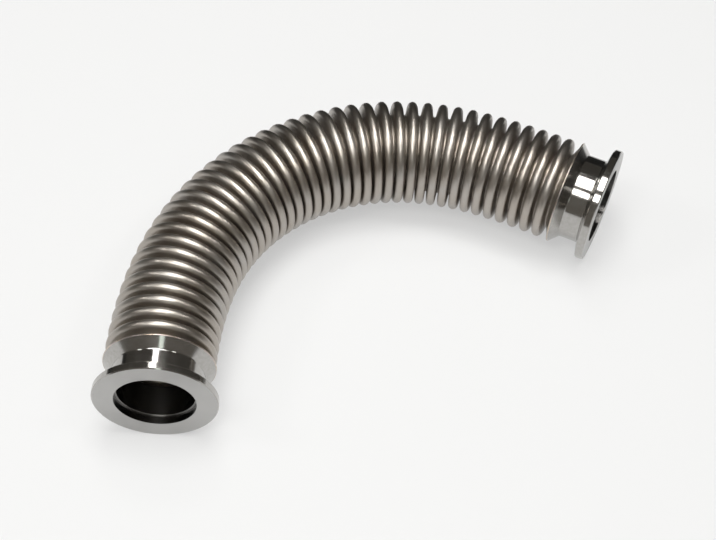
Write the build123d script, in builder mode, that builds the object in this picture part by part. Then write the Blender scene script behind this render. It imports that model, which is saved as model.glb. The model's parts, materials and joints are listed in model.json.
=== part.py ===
from build123d import *
import os
from math import cos, radians, sin, tan

# Vacuum bellows hose: a thin corrugated tube welded between two small clamp flanges.
#
# The origin is the centre of the near port's sealing face, which looks towards -Y. The
# hose leaves it towards +Y and swings round towards +X in a level curve, so it can lie on
# its two flange rims. Millimetres and degrees, +Z up.

# Clamp flange, turned with its neck and weld collar from one bar (both ends are alike)
flange_diameter = 40.0
flange_rim_width = 2.6
clamp_cone_angle = 15.0
ring_seat_diameter = 26.2  # recess that takes the centring ring
ring_seat_depth = 3.0
port_bore_diameter = 25.0
neck_diameter = 30.0
neck_length = 6.4
neck_fillet = 0.5
collar_diameter = 36.0
collar_length = 3.3
collar_lip_width = 0.25
rim_chamfer = 0.3

# Bellows tube
wall = 0.25
crest_diameter = 35.9
root_diameter = 26.4
crest_width = 2.8
root_bevel = 0.5
pitch = 4.76
crest_count = 40
weld_lip_height = 0.5  # flat edge of the end flank, pressed against the collar
weld_bead_height = 0.18

# Bend: degrees turned at each root, easing from each end into an even middle
turn_near = 1.6
turn_middle = 3.55
turn_far = 0.55
ease_near = 13.0  # roots over which the bend grows from the near port
ease_far = 12.0  # roots over which it fades towards the far port

# Worked out from the sizes above
clamp_cone_length = (flange_diameter - neck_diameter) / 2 * tan(radians(clamp_cone_angle))
fitting_length = flange_rim_width + clamp_cone_length + neck_length + collar_length
root_count = crest_count + 1
land_overrun = pitch / 4  # root land drawn past the mitre, which trims it
down = Vector(0, 0, -1)


def direction(heading):
    """Level unit vector at a heading, in degrees anticlockwise from +X."""
    return Vector(cos(radians(heading)), sin(radians(heading)), 0)


def smooth(share):
    """Eases from 0 to 1 with no jump in slope at either end."""
    share = min(max(share, 0.0), 1.0)
    return share * share * (3 - 2 * share)


def turn_at(root):
    """Degrees by which the hose turns at a root, counted from the near port."""
    from_far = root_count - 1 - root
    rise = turn_near + (turn_middle - turn_near) * smooth(root / ease_near)
    fall = turn_far + (turn_middle - turn_far) * smooth(from_far / ease_far)
    return min(rise, fall)


def meridian(point, heading):
    """Sketch plane through the hose's axis: X runs along the hose, Y is the radius."""
    along = direction(heading)
    return Plane(origin=point, x_dir=along, z_dir=along.cross(down))


def mitre(point, heading):
    """Plane square to a heading, through a point of the centreline."""
    return Plane(origin=point, z_dir=direction(heading))


# Centreline: one straight length per convolution, with all the turning at the roots
turns = [turn_at(root) for root in range(root_count)]
headings = [90.0]
near_face = Vector(0, 0, 0)
roots = [near_face + direction(headings[0]) * (fitting_length + pitch / 2)]
for turn in turns:
    headings.append(headings[-1] - turn)
    roots.append(roots[-1] + direction(headings[-1]) * pitch)
far_collar = roots[root_count - 1] + direction(headings[-1]) * (pitch / 2)
far_face = far_collar + direction(headings[-1]) * fitting_length
near_collar = near_face + direction(headings[0]) * fitting_length


def turned_flange(face, heading):
    """One-piece end fitting whose sealing face is at a point, with its neck along heading."""
    with BuildPart() as flange:
        with BuildSketch(meridian(face, heading)) as section:
            with BuildLine():
                Polyline(
                    (0, ring_seat_diameter / 2),
                    (0, flange_diameter / 2),
                    (flange_rim_width, flange_diameter / 2),
                    (flange_rim_width + clamp_cone_length, neck_diameter / 2),
                    (fitting_length - collar_length, neck_diameter / 2),
                    (fitting_length - collar_lip_width, collar_diameter / 2),
                    (fitting_length, collar_diameter / 2),
                    (fitting_length, port_bore_diameter / 2),
                    (ring_seat_depth, port_bore_diameter / 2),
                    (ring_seat_depth, ring_seat_diameter / 2),
                    close=True,
                )
            make_face()
            rim = section.vertices().group_by(Axis.Y)[-1]
            chamfer(rim, rim_chamfer)
            neck = section.vertices().filter_by_position(
                Axis.Y, neck_diameter / 2 - 0.01, neck_diameter / 2 + 0.01
            )
            fillet(neck, neck_fillet)
        revolve(axis=Axis(face, direction(heading)))
    return flange


def convolution(root, heading, turn_before, turn_after):
    """One U-shaped ring from a root to the next, its ends mitred to half of each turn."""
    crest_centre = (0, crest_diameter / 2 - crest_width / 2)
    flank = crest_width / 2
    inside = flank - wall
    outer_root = root_diameter / 2
    inner_root = outer_root - wall
    land_end = pitch / 2 + land_overrun
    middle = root + direction(heading) * (pitch / 2)
    with BuildPart() as ring:
        with BuildSketch(meridian(middle, heading)):
            with BuildLine():
                crest = CenterArc(crest_centre, flank, 0, 90)
                hollow = CenterArc(crest_centre, inside, 0, 90, mode=Mode.PRIVATE)
                Polyline(
                    crest @ 0,
                    (flank, outer_root + root_bevel),
                    (flank + root_bevel, outer_root),
                    (land_end, outer_root),
                    (land_end, inner_root),
                    (inside + root_bevel, inner_root),
                    (inside, inner_root + root_bevel),
                    hollow @ 0,
                    hollow @ 0.5,
                    hollow @ 1,
                    crest @ 1,
                )
            make_face()
            mirror(about=Plane.YZ)
        revolve(axis=Axis(middle, direction(heading)))
        split(bisect_by=mitre(root, heading + turn_before / 2), keep=Keep.TOP)
        next_root = root + direction(heading) * pitch
        split(bisect_by=mitre(next_root, heading - turn_after / 2), keep=Keep.BOTTOM)
    return ring.part


def end_flank(collar, heading, turn):
    """Half convolution from the weld lip down to the first root, mitred to half its turn."""
    lip_foot = collar_diameter / 2 - weld_lip_height
    with BuildPart() as cone:
        with BuildSketch(meridian(collar, heading)):
            with BuildLine():
                Polyline(
                    (wall, collar_diameter / 2),
                    (wall, lip_foot),
                    (crest_width / 2, root_diameter / 2 + root_bevel),
                    (crest_width / 2 + root_bevel, root_diameter / 2),
                    (pitch / 2 + land_overrun, root_diameter / 2),
                )
                offset(amount=wall, side=Side.RIGHT)
            make_face()
        revolve(axis=Axis(collar, direction(heading)))
        root = collar + direction(heading) * (pitch / 2)
        split(bisect_by=mitre(root, heading + turn / 2), keep=Keep.BOTTOM)
    return cone.part


def weld_bead(collar, heading):
    """Bead over the collar's lip and the bellows' lip, where both edges are fused."""
    with BuildPart() as bead:
        with BuildSketch(meridian(collar, heading)):
            with BuildLine():
                base = Line(
                    (-collar_lip_width, collar_diameter / 2), (wall, collar_diameter / 2)
                )
                SagittaArc(base @ 1, base @ 0, -weld_bead_height)
            make_face()
        revolve(axis=Axis(collar, direction(heading)))
    return bead


os.makedirs("parts", exist_ok=True)

near_flange = turned_flange(near_face, headings[0])
near_flange.part.label = "near_flange"
export_step(near_flange.part, "parts/near_flange.step")

far_flange = turned_flange(far_face, headings[-1] + 180)
far_flange.part.label = "far_flange"
export_step(far_flange.part, "parts/far_flange.step")

rings = [end_flank(near_collar, headings[0], -turns[0])]
for number in range(crest_count):
    ring = convolution(roots[number], headings[number + 1], turns[number], turns[number + 1])
    rings.append(ring)
rings.append(end_flank(far_collar, headings[-1] + 180, turns[-1]))
with BuildPart() as bellows_tube:
    add(rings)
bellows_tube.part.label = "bellows_tube"
export_step(bellows_tube.part, "parts/bellows_tube.step")

near_weld = weld_bead(near_collar, headings[0])
near_weld.part.label = "near_weld"
export_step(near_weld.part, "parts/near_weld.step")

far_weld = weld_bead(far_collar, headings[-1] + 180)
far_weld.part.label = "far_weld"
export_step(far_weld.part, "parts/far_weld.step")
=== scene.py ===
"""Looks of the vacuum bellows hose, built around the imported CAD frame. Metres, +Z up."""

import json
import math

import bpy
import numpy as np
from mathutils import Matrix, Vector


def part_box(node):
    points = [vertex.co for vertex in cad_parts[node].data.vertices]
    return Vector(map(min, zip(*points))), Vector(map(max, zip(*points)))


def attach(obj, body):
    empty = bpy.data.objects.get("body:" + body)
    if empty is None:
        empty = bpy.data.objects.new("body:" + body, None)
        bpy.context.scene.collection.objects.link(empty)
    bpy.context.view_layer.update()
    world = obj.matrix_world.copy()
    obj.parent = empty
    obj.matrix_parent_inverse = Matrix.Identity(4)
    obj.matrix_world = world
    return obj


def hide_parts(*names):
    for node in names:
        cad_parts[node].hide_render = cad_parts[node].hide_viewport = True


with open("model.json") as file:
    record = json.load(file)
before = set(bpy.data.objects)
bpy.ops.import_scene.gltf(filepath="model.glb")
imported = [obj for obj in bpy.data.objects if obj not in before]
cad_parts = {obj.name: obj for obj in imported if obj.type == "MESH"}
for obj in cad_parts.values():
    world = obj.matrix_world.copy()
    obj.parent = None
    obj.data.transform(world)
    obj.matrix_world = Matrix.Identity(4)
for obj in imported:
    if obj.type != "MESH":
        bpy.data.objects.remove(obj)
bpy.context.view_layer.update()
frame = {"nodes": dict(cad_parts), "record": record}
record = frame["record"]
MM = 0.001


# ---------------------------------------------------------------- sizes
def mount(name):
    """The record's mount of that name."""
    return next(m for m in record["mounts"] if m["name"] == name)


# From the frame. The near fitting lies along Y, so its box gives its length.
near_face = Vector(mount("near_port")["pos_m"])
near_out = Vector(mount("near_port")["axis"])
far_face = Vector(mount("far_port")["pos_m"])
far_out = Vector(mount("far_port")["axis"])
flange_radius = mount("near_rim")["dims"]["r_mm"] * MM
seat_radius = mount("near_port")["dims"]["r_mm"] * MM
fitting_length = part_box("near_flange")[1][1] - near_face.y
floor_height = near_face.z - flange_radius

# The bellows, as in the part's source
pitch = 4.76 * MM
crest_count = 40
crest_radius = 17.95 * MM
root_radius = 13.2 * MM
wall = 0.25 * MM
lip_radius = 18.0 * MM
lip_height = 0.5 * MM

# The bellows' rounder section, which only this script has
crest_round = 1.65 * MM
root_round = 0.35 * MM

# Degrees turned at each root, and the roots over which that eases in from each end
TURN_NEAR, TURN_MIDDLE, TURN_FAR = 1.6, 3.55, 0.55
EASE_NEAR, EASE_FAR = 13.0, 12.0
HINGE = 0.4  # share of the pitch, round each root, in which the skin bends

# How finely the bellows is drawn
SIDES = 64
OUTER_STEPS = (6, 4)  # points of each crest arc and each root arc
INNER_STEPS = (4, 3)
STEPS_PER_PITCH = 40  # of the centreline


def smooth(share):
    """Eases a share from 0 to 1 with level ends."""
    share = min(max(share, 0.0), 1.0)
    return share * share * (3 - 2 * share)


def turn_at(root):
    """Radians by which the hose turns at a root, counted from the near end."""
    rise = TURN_NEAR + (TURN_MIDDLE - TURN_NEAR) * smooth(root / EASE_NEAR)
    fall = TURN_FAR + (TURN_MIDDLE - TURN_FAR) * smooth((crest_count - root) / EASE_FAR)
    return math.radians(min(rise, fall))


# ---------------------------------------------------------------- node helpers
def new_material(name, color, roughness, metallic=1.0):
    """A material and its Principled shader, with the plain look that nodes then refine."""
    material = bpy.data.materials.new(name)
    material.use_nodes = True
    shader = material.node_tree.nodes["Principled BSDF"]
    shader.inputs["Base Color"].default_value = (*color, 1)
    shader.inputs["Metallic"].default_value = metallic
    shader.inputs["Roughness"].default_value = roughness
    return material, shader


def node(owner, kind, **settings):
    """A new node of a material or world."""
    made = owner.node_tree.nodes.new(kind)
    for key, value in settings.items():
        setattr(made, key, value)
    return made


def feed(owner, target, value):
    """Gives a socket a constant, or links it to the output that drives it."""
    if isinstance(value, bpy.types.NodeSocket):
        owner.node_tree.links.new(value, target)
    else:
        target.default_value = tuple(value) if isinstance(value, Vector) else value


def math_node(owner, operation, *values, clamp=False):
    """A number worked out from one or two others."""
    made = node(owner, "ShaderNodeMath", operation=operation, use_clamp=clamp)
    for target, value in zip(made.inputs, values):
        feed(owner, target, value)
    return made.outputs["Value"]


def vector_node(owner, operation, *values):
    """A number from DOT_PRODUCT or LENGTH, and a vector from other operations."""
    made = node(owner, "ShaderNodeVectorMath", operation=operation)
    for target, value in zip(made.inputs, values):
        feed(owner, target, value)
    return made.outputs["Value" if operation in ("DOT_PRODUCT", "LENGTH") else "Vector"]


def scaled(owner, vector, factor):
    """A vector times a number."""
    made = node(owner, "ShaderNodeVectorMath", operation="SCALE")
    feed(owner, made.inputs[0], vector)
    feed(owner, made.inputs["Scale"], factor)
    return made.outputs["Vector"]


def blend(owner, kind, factor, first, second):
    """Mix of two numbers (FLOAT) or two colours (RGBA)."""
    made = node(owner, "ShaderNodeMix", data_type=kind)
    for key, value in (("Factor", factor), ("A", first), ("B", second)):
        feed(owner, made.inputs[key], value)
    return made.outputs["Result"]


def remap(owner, value, source, result):
    """Carries a value from one range to another, held at both ends."""
    made = node(owner, "ShaderNodeMapRange")
    feed(owner, made.inputs["Value"], value)
    for key, number in zip(("From Min", "From Max", "To Min", "To Max"), (*source, *result)):
        made.inputs[key].default_value = number
    return made.outputs["Result"]


def ramp(owner, factor, stops):
    """Colour ramp with (position, colour) stops."""
    made = node(owner, "ShaderNodeValToRGB")
    elements = made.color_ramp.elements
    while len(elements) < len(stops):
        elements.new(0.5)
    for element, (position, color) in zip(elements, stops):
        element.position = position
        element.color = (*color, 1)
    feed(owner, made.inputs["Fac"], factor)
    return made.outputs["Color"]


def noise(owner, vector, scale, detail):
    """Noise from 0 to 1, its scale in features per unit of the vector."""
    made = node(owner, "ShaderNodeTexNoise")
    made.inputs["Scale"].default_value = scale
    made.inputs["Detail"].default_value = detail
    made.inputs["Roughness"].default_value = 0.55
    feed(owner, made.inputs["Vector"], vector)
    return made.outputs["Fac"]


def bump(owner, shader, height, strength, distance):
    """Raises a shader's surface by a height of 0 to 1 times a distance."""
    made = node(owner, "ShaderNodeBump")
    made.inputs["Strength"].default_value = strength
    made.inputs["Distance"].default_value = distance
    feed(owner, made.inputs["Height"], height)
    feed(owner, shader.inputs["Normal"], made.outputs["Normal"])


# ---------------------------------------------------------------- materials
# Turned fittings: smudge noise from clean to smudged, and roughness over that range
SMUDGE = (0.3, 0.75)
NECK_ROUGHNESS = (0.12, 0.20)
FACE_ROUGHNESS = (0.34, 0.44)
BORE_ROUGHNESS = 0.20

# Cosine between a surface's normal and the way the port faces: the sealing face's finish
# comes in over the first range, and the bore's roughness and painted shade go out over the second
FACE_COMES_IN = (0.9, 0.98)
BORE_GOES_OUT = (0.4, 0.8)
BORE_EDGE = 0.1 * MM

# Lathe rings per metre
RINGS_BY_RADIUS = 9000.0
RINGS_BY_DEPTH = 7000.0

TURNED_STOPS = [(0.3, (0.40, 0.39, 0.37)), (0.7, (0.46, 0.45, 0.435))]
FACE_COLOR = (0.47, 0.465, 0.455, 1)
# Painted shade: the bore's base colour is far darker than the steel's, standing in for shade in the
# recess
BORE_SHADE_COLOR = (0.22, 0.215, 0.21, 1)
BELLOWS_STOPS = [
    (0.30, (0.41, 0.370, 0.325)),
    (0.52, (0.44, 0.408, 0.372)),
    (0.75, (0.46, 0.442, 0.42)),
]
STRAW_STOPS = [
    (0.3, (0.60, 0.50, 0.38)),
    (0.5, (0.56, 0.49, 0.43)),
    (0.72, (0.50, 0.45, 0.46)),
]


def round_axis(material, shader, position, normal, face, outward):
    """Stretches highlights along the profile, as lathe rings do. Gives radius and height."""
    offset = vector_node(material, "SUBTRACT", position, face)
    height = vector_node(material, "DOT_PRODUCT", offset, outward)
    radial = vector_node(material, "SUBTRACT", offset, scaled(material, outward, height))
    around = vector_node(material, "CROSS_PRODUCT", outward, radial)
    meridian = vector_node(material, "CROSS_PRODUCT", normal, around)
    feed(material, shader.inputs["Tangent"], meridian)
    shader.inputs["Anisotropic"].default_value = 0.8
    return vector_node(material, "LENGTH", radial), height


def turned_rings(material, shader, radius, height):
    """Fine rings that the lathe leaves, by radius on faces and by depth on necks."""
    place = node(material, "ShaderNodeCombineXYZ")
    feed(material, place.inputs["X"], math_node(material, "MULTIPLY", radius, RINGS_BY_RADIUS))
    feed(material, place.inputs["Y"], math_node(material, "MULTIPLY", height, -RINGS_BY_DEPTH))
    rings = noise(material, place.outputs["Vector"], scale=1.0, detail=2.0)
    bump(material, shader, rings, strength=0.10, distance=0.01 * MM)


def turned_steel(name, face, outward):
    """Turned fitting: satin sealing face, polished neck, bore darkened with painted shade, fine lathe
    rings.
    """
    material, shader = new_material(name, (0.47, 0.46, 0.45), 0.12)
    geometry = node(material, "ShaderNodeNewGeometry")
    position = geometry.outputs["Position"]
    normal = geometry.outputs["Normal"]
    radius, height = round_axis(material, shader, position, normal, face, outward)

    facing = vector_node(material, "DOT_PRODUCT", normal, outward)
    on_face = remap(material, facing, FACE_COMES_IN, (0.0, 1.0))
    within = remap(material, radius, (seat_radius, seat_radius + BORE_EDGE), (1.0, 0.0))
    not_facing = remap(material, facing, BORE_GOES_OUT, (1.0, 0.0))
    in_bore = math_node(material, "MULTIPLY", within, not_facing)

    smudge = noise(material, position, scale=160.0, detail=4.0)
    polished = remap(material, smudge, SMUDGE, NECK_ROUGHNESS)
    satin = remap(material, smudge, SMUDGE, FACE_ROUGHNESS)
    outside = blend(material, "FLOAT", on_face, polished, satin)
    roughness = blend(material, "FLOAT", in_bore, outside, BORE_ROUGHNESS)
    feed(material, shader.inputs["Roughness"], roughness)

    speckle = noise(material, position, scale=900.0, detail=3.0)
    tint = ramp(material, speckle, TURNED_STOPS)
    outside = blend(material, "RGBA", on_face, tint, FACE_COLOR)
    # Painted shade: inside the bore the base colour turns dark, as if shade fell in the recess
    color = blend(material, "RGBA", in_bore, outside, BORE_SHADE_COLOR)
    feed(material, shader.inputs["Base Color"], color)
    turned_rings(material, shader, radius, height)
    return material


def bellows_steel():
    """Thin bright-rolled strip: soft warm sheen over a fine grain that runs round the hose."""
    material, shader = new_material("bellows_steel", (0.58, 0.55, 0.51), 0.24)
    position = node(material, "ShaderNodeNewGeometry").outputs["Position"]
    cloud = noise(material, position, scale=90.0, detail=4.0)
    feed(material, shader.inputs["Base Color"], ramp(material, cloud, BELLOWS_STOPS))
    roughness = remap(material, cloud, source=(0.25, 0.75), result=(0.34, 0.42))
    feed(material, shader.inputs["Roughness"], roughness)
    grain = noise(material, position, scale=1600.0, detail=3.0)
    bump(material, shader, grain, strength=0.08, distance=0.02 * MM)
    tangent = node(material, "ShaderNodeTangent", direction_type="UV_MAP", uv_map="wrap")
    feed(material, shader.inputs["Tangent"], tangent.outputs["Tangent"])
    shader.inputs["Anisotropic"].default_value = 0.2
    shader.inputs["Anisotropic Rotation"].default_value = 0.25
    return material


def weld_steel():
    """Fused bead: rippled, with straw and faint violet heat tint."""
    material, shader = new_material("weld_steel", (0.55, 0.47, 0.38), 0.3)
    position = node(material, "ShaderNodeNewGeometry").outputs["Position"]
    patch = noise(material, position, scale=220.0, detail=3.0)
    feed(material, shader.inputs["Base Color"], ramp(material, patch, STRAW_STOPS))
    roughness = remap(material, patch, source=(0.3, 0.7), result=(0.24, 0.36))
    feed(material, shader.inputs["Roughness"], roughness)
    ripple = noise(material, position, scale=1500.0, detail=2.0)
    bump(material, shader, ripple, strength=0.35, distance=0.04 * MM)
    return material


def dress(name, material):
    """Gives a CAD node its finish."""
    for slot in frame["nodes"][name].material_slots:
        slot.material = material


dress("near_flange", turned_steel("near_turned_steel", near_face, near_out))
dress("far_flange", turned_steel("far_turned_steel", far_face, far_out))
weld = weld_steel()
dress("near_weld", weld)
dress("far_weld", weld)


# ---------------------------------------------------------------- bellows
def arc(center, radius, start, end, count):
    """Points (along, out) of an arc, angles in degrees from the along direction."""
    angles = np.radians(np.linspace(start, end, count))
    along = center[0] + radius * np.cos(angles)
    return np.column_stack([along, center[1] + radius * np.sin(angles)])


def flank_slope():
    """Degrees by which the flank leans, as the inner tangent of crest and root arcs."""
    across = pitch / 2
    deep = (crest_radius - crest_round) - (root_radius + root_round)
    lean = math.atan2(across, deep)
    return math.degrees(lean - math.asin((crest_round + root_round) / math.hypot(across, deep)))


def root_arc(inset, first_angle, steps):
    """Half a root's section, from its flank to its middle."""
    return arc((pitch / 2, root_radius + root_round), root_round + inset, first_angle, 270, steps)


def full_skin(inset, crest_steps, root_steps):
    """One convolution's section from its crest's top to its root's middle."""
    slope = flank_slope()
    crest = arc((0, crest_radius - crest_round), crest_round - inset, 90, slope, crest_steps)
    return np.vstack([crest, root_arc(inset, 180 + slope, root_steps)])


def end_skin(inset, root_steps):
    """Half convolution from the weld lip to the root, as seen from the collar."""
    lip = [(wall - inset, lip_radius), (wall - inset, lip_radius - lip_height)]
    return np.vstack([lip, root_arc(inset, 180 + 2 * flank_slope(), root_steps)])


def stations(inset, crest_steps, root_steps):
    """(distance from the near collar, radius) of the whole skin."""
    full = full_skin(inset, crest_steps, root_steps)
    end = end_skin(inset, root_steps)
    whole = [end]
    for crest in range(crest_count):
        middle = (crest + 1) * pitch
        whole.append(full[::-1][1:] * (-1, 1) + (middle, 0))
        whole.append(full[1:] + (middle, 0))
    length = (crest_count + 1) * pitch
    whole.append(end[::-1][1:] * (-1, 1) + (length, 0))
    return np.vstack(whole)


def centreline(distances):
    """Place and heading on the hose's centreline at distances from the near collar."""
    step = pitch / STEPS_PER_PITCH
    total = (crest_count + 1) * pitch
    grid = np.arange(0, total + step, step)
    turned = np.zeros_like(grid)
    for root in range(crest_count + 1):
        hinge_start = (root + 0.5 - HINGE / 2) * pitch
        turned += turn_at(root) * np.clip((grid - hinge_start) / (HINGE * pitch), 0, 1)
    heading = math.pi / 2 - turned
    middle = (heading[1:] + heading[:-1]) / 2
    x = np.concatenate([[0], np.cumsum(np.cos(middle) * step)])
    y = np.concatenate([[0], np.cumsum(np.sin(middle) * step)])
    start = near_face - near_out * fitting_length
    return (
        np.interp(distances, grid, x) + start.x,
        np.interp(distances, grid, y) + start.y,
        np.interp(distances, grid, heading),
    )


def ring_rows(section):
    """Vertices of a skin: one ring of points for each station."""
    x, y, heading = centreline(section[:, 0])
    angle = np.linspace(0, 2 * math.pi, SIDES, endpoint=False) - math.pi / 2
    out = section[:, 1][:, None]
    side = out * np.cos(angle)
    rows = np.empty((len(section), SIDES, 3))
    rows[:, :, 0] = x[:, None] - np.sin(heading)[:, None] * side
    rows[:, :, 1] = y[:, None] + np.cos(heading)[:, None] * side
    rows[:, :, 2] = near_face.z + out * np.sin(angle)
    return rows


def ring_faces(count):
    """Quads between each ring and the next, the last ring joining the first."""
    near = np.arange(SIDES)
    after = (near + 1) % SIDES
    faces = []
    for row in range(count):
        low = row * SIDES
        high = ((row + 1) % count) * SIDES
        faces.append(np.column_stack([low + near, high + near, high + after, low + after]))
    return np.vstack(faces)


def wrap_around(mesh, count):
    """UV map with U round the hose, which gives the grain its direction."""
    layer = mesh.uv_layers.new(name="wrap")
    around = np.tile(np.array([0, 0, 1, 1]), (count, SIDES, 1)) + np.arange(SIDES)[None, :, None]
    along = np.tile(np.array([0, 1, 1, 0]), (count, SIDES, 1)) + np.arange(count)[:, None, None]
    places = np.stack([around / SIDES, along / count], axis=-1)
    layer.data.foreach_set("uv", places.astype(np.float32).ravel())


def make_bellows():
    """Outer and inner skin in one closed mesh, joined at both weld lips."""
    outer = ring_rows(stations(0.0, *OUTER_STEPS))
    inner = ring_rows(stations(wall, *INNER_STEPS))
    rows = np.concatenate([outer, inner[::-1]])
    mesh = bpy.data.meshes.new("bellows_skin")
    mesh.from_pydata(rows.reshape(-1, 3).tolist(), [], ring_faces(len(rows)).tolist())
    mesh.shade_smooth()
    wrap_around(mesh, len(rows))
    mesh.update()
    piece = bpy.data.objects.new("bellows_skin", mesh)
    bpy.context.scene.collection.objects.link(piece)
    mesh.materials.append(bellows_steel())
    return piece


bellows = make_bellows()
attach(bellows, "root")
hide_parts("bellows_tube")


# ---------------------------------------------------------------- stage, in metres and watts
FLOOR_HALF = 3.0
FLOOR_COLOR = (0.70, 0.71, 0.72)
FLOOR_WHITE = (0.93, 0.93, 0.93, 1)
WHITE_SHARE = 0.5

FLAG_X = (-0.4, 0.6)
FLAG_Y = 0.17
FLAG_HEIGHT = 0.06

SKY_BEHIND = (0.075, 0.070, 0.062, 1)
SKY_IN_FRONT = (0.20, 0.185, 0.165, 1)

LAMP_TARGET = (0.06, 0.06, 0.0)
KEY_WIDTH = 0.62
KEY_HEIGHT = 1.2
KEY_COLOR = (1.0, 0.985, 0.955)
SIDE_COLOR = (1.0, 0.98, 0.95)

CAMERA_PLACE = (0.052245, -0.240983, 0.407032)
CAMERA_YAW, CAMERA_PITCH, CAMERA_ROLL = 1.156, 54.072, 4.167  # degrees
CAMERA_LENS = 75.70  # millimetres
CAMERA_SHIFT = (0.01475, 0.0050)


def make_card(name, corners, color, roughness):
    """Flat four-cornered piece of the stage, matt and not metal."""
    mesh = bpy.data.meshes.new(name)
    mesh.from_pydata(corners, [], [(0, 1, 2, 3)])
    card = bpy.data.objects.new(name, mesh)
    bpy.context.scene.collection.objects.link(card)
    material, _ = new_material(name, color, roughness, metallic=0.0)
    mesh.materials.append(material)
    return card


def lighten(material, white_color, share):
    """Mixes white into what camera, glossy and transmission rays all see."""
    rays = node(material, "ShaderNodeLightPath").outputs
    seen = math_node(material, "ADD", rays["Is Camera Ray"], rays["Is Glossy Ray"])
    seen = math_node(material, "ADD", seen, rays["Is Transmission Ray"], clamp=True)
    white = node(material, "ShaderNodeEmission")
    white.inputs["Color"].default_value = white_color
    paper = node(material, "ShaderNodeMixShader")
    nodes = material.node_tree.nodes
    feed(material, paper.inputs["Fac"], math_node(material, "MULTIPLY", seen, share))
    feed(material, paper.inputs[1], nodes["Principled BSDF"].outputs["BSDF"])
    feed(material, paper.inputs[2], white.outputs["Emission"])
    feed(material, nodes["Material Output"].inputs["Surface"], paper.outputs["Shader"])


def make_floor():
    """White paper under the hose, which still shows its shadow."""
    signs = [(-1, -1), (1, -1), (1, 1), (-1, 1)]
    corners = [(FLOOR_HALF * x, FLOOR_HALF * y, floor_height) for x, y in signs]
    floor = make_card("floor", corners, FLOOR_COLOR, roughness=0.7)
    lighten(floor.data.materials[0], FLOOR_WHITE, WHITE_SHARE)


def make_flag():
    """Low black card behind the hose, which only reflections meet."""
    low, high = floor_height, floor_height + FLAG_HEIGHT
    left, right = FLAG_X
    corners = [(left, FLAG_Y, low), (right, FLAG_Y, low), (right, FLAG_Y, high), (left, FLAG_Y, high)]
    flag = make_card("flag", corners, (0.02, 0.02, 0.02), roughness=0.9)
    flag.visible_camera = False
    flag.visible_diffuse = False
    flag.visible_shadow = False


def make_world():
    """Dim room, a little lighter in front of the hose than behind it."""
    world = bpy.data.worlds.new("studio")
    bpy.context.scene.world = world
    world.use_nodes = True
    direction = node(world, "ShaderNodeTexCoord").outputs["Generated"]
    split = node(world, "ShaderNodeSeparateXYZ")
    feed(world, split.inputs["Vector"], direction)
    toward_front = remap(world, split.outputs["Y"], (0.2, -1.0), (0.0, 1.0))
    color = blend(world, "RGBA", toward_front, SKY_BEHIND, SKY_IN_FRONT)
    feed(world, world.node_tree.nodes["Background"].inputs["Color"], color)


def area_light(name, place, size, power, color):
    """Rectangular lamp, which faces straight down until it is turned."""
    data = bpy.data.lights.new(name, "AREA")
    data.shape = "RECTANGLE"
    data.size, data.size_y = size
    data.energy = power
    data.color = color
    light = bpy.data.objects.new(name, data)
    light.location = place
    bpy.context.scene.collection.objects.link(light)
    return light


def aimed_light(name, place, size, power, color, target=LAMP_TARGET):
    """Rectangular lamp that faces a target."""
    light = area_light(name, place, size, power, color)
    ahead = Vector(target) - Vector(place)
    light.rotation_euler = ahead.to_track_quat("-Z", "Y").to_euler()
    return light


def key_light(name, start, end, power):
    """Long lamp hung level from start to end (x, y), facing straight down."""
    start, end = Vector((*start, KEY_HEIGHT)), Vector((*end, KEY_HEIGHT))
    run = end - start
    light = area_light(name, (start + end) / 2, (KEY_WIDTH, run.length), power, KEY_COLOR)
    light.rotation_euler = (0, 0, math.atan2(run.y, run.x) - math.pi / 2)


def make_lamps():
    """One long ceiling lamp with a gap, small lamps all round, and a wide fill."""
    key_light("key_back", (0.165, 0.427), (-0.075, -0.125), 10.2)
    key_light("key_front", (-0.172, -0.348), (-0.324, -0.697), 6.8)
    aimed_light("left_lamp", (-0.78, 0.0, 0.85), (0.16, 0.16), 1.4, SIDE_COLOR)
    aimed_light("right_lamp", (0.70, 0.0, 1.0), (0.16, 0.16), 1.4, SIDE_COLOR)
    aimed_light("back_lamp", (-0.12, 0.79, 1.2), (0.26, 0.20), 1.4, (1.0, 0.99, 0.97))
    aimed_light("front_lamp", (0.05, -1.05, 0.74), (0.16, 0.30), 0.30, (0.88, 1.0, 0.93))
    under_fill = (0.05, 0.05, 0.0)
    fill = aimed_light("fill", (0.05, 0.0, 2.2), (6.0, 6.0), 14.0, (0.94, 0.97, 1.0), under_fill)
    fill.visible_glossy = False


def make_camera():
    """The photograph's camera, which looks down over the near flange."""
    yaw, tilt, roll = (math.radians(a) for a in (CAMERA_YAW, CAMERA_PITCH, CAMERA_ROLL))
    level = Vector((math.cos(yaw), -math.sin(yaw), 0))
    forward = Vector((math.sin(yaw), math.cos(yaw), 0))
    ahead = math.cos(tilt) * forward - Vector((0, 0, math.sin(tilt)))
    upright = level.cross(ahead)
    right = math.cos(roll) * level + math.sin(roll) * upright
    up = math.cos(roll) * upright - math.sin(roll) * level
    data = bpy.data.cameras.new("camera")
    data.lens = CAMERA_LENS
    data.sensor_width = 36.0
    data.shift_x, data.shift_y = CAMERA_SHIFT
    data.clip_start = 0.01
    camera = bpy.data.objects.new("camera", data)
    turn = Matrix((right, up, -ahead)).transposed().to_4x4()
    camera.matrix_world = Matrix.Translation(CAMERA_PLACE) @ turn
    bpy.context.scene.collection.objects.link(camera)
    bpy.context.scene.camera = camera


make_floor()
make_world()
make_lamps()
make_flag()
make_camera()
bpy.context.scene.view_settings.view_transform = "Standard"
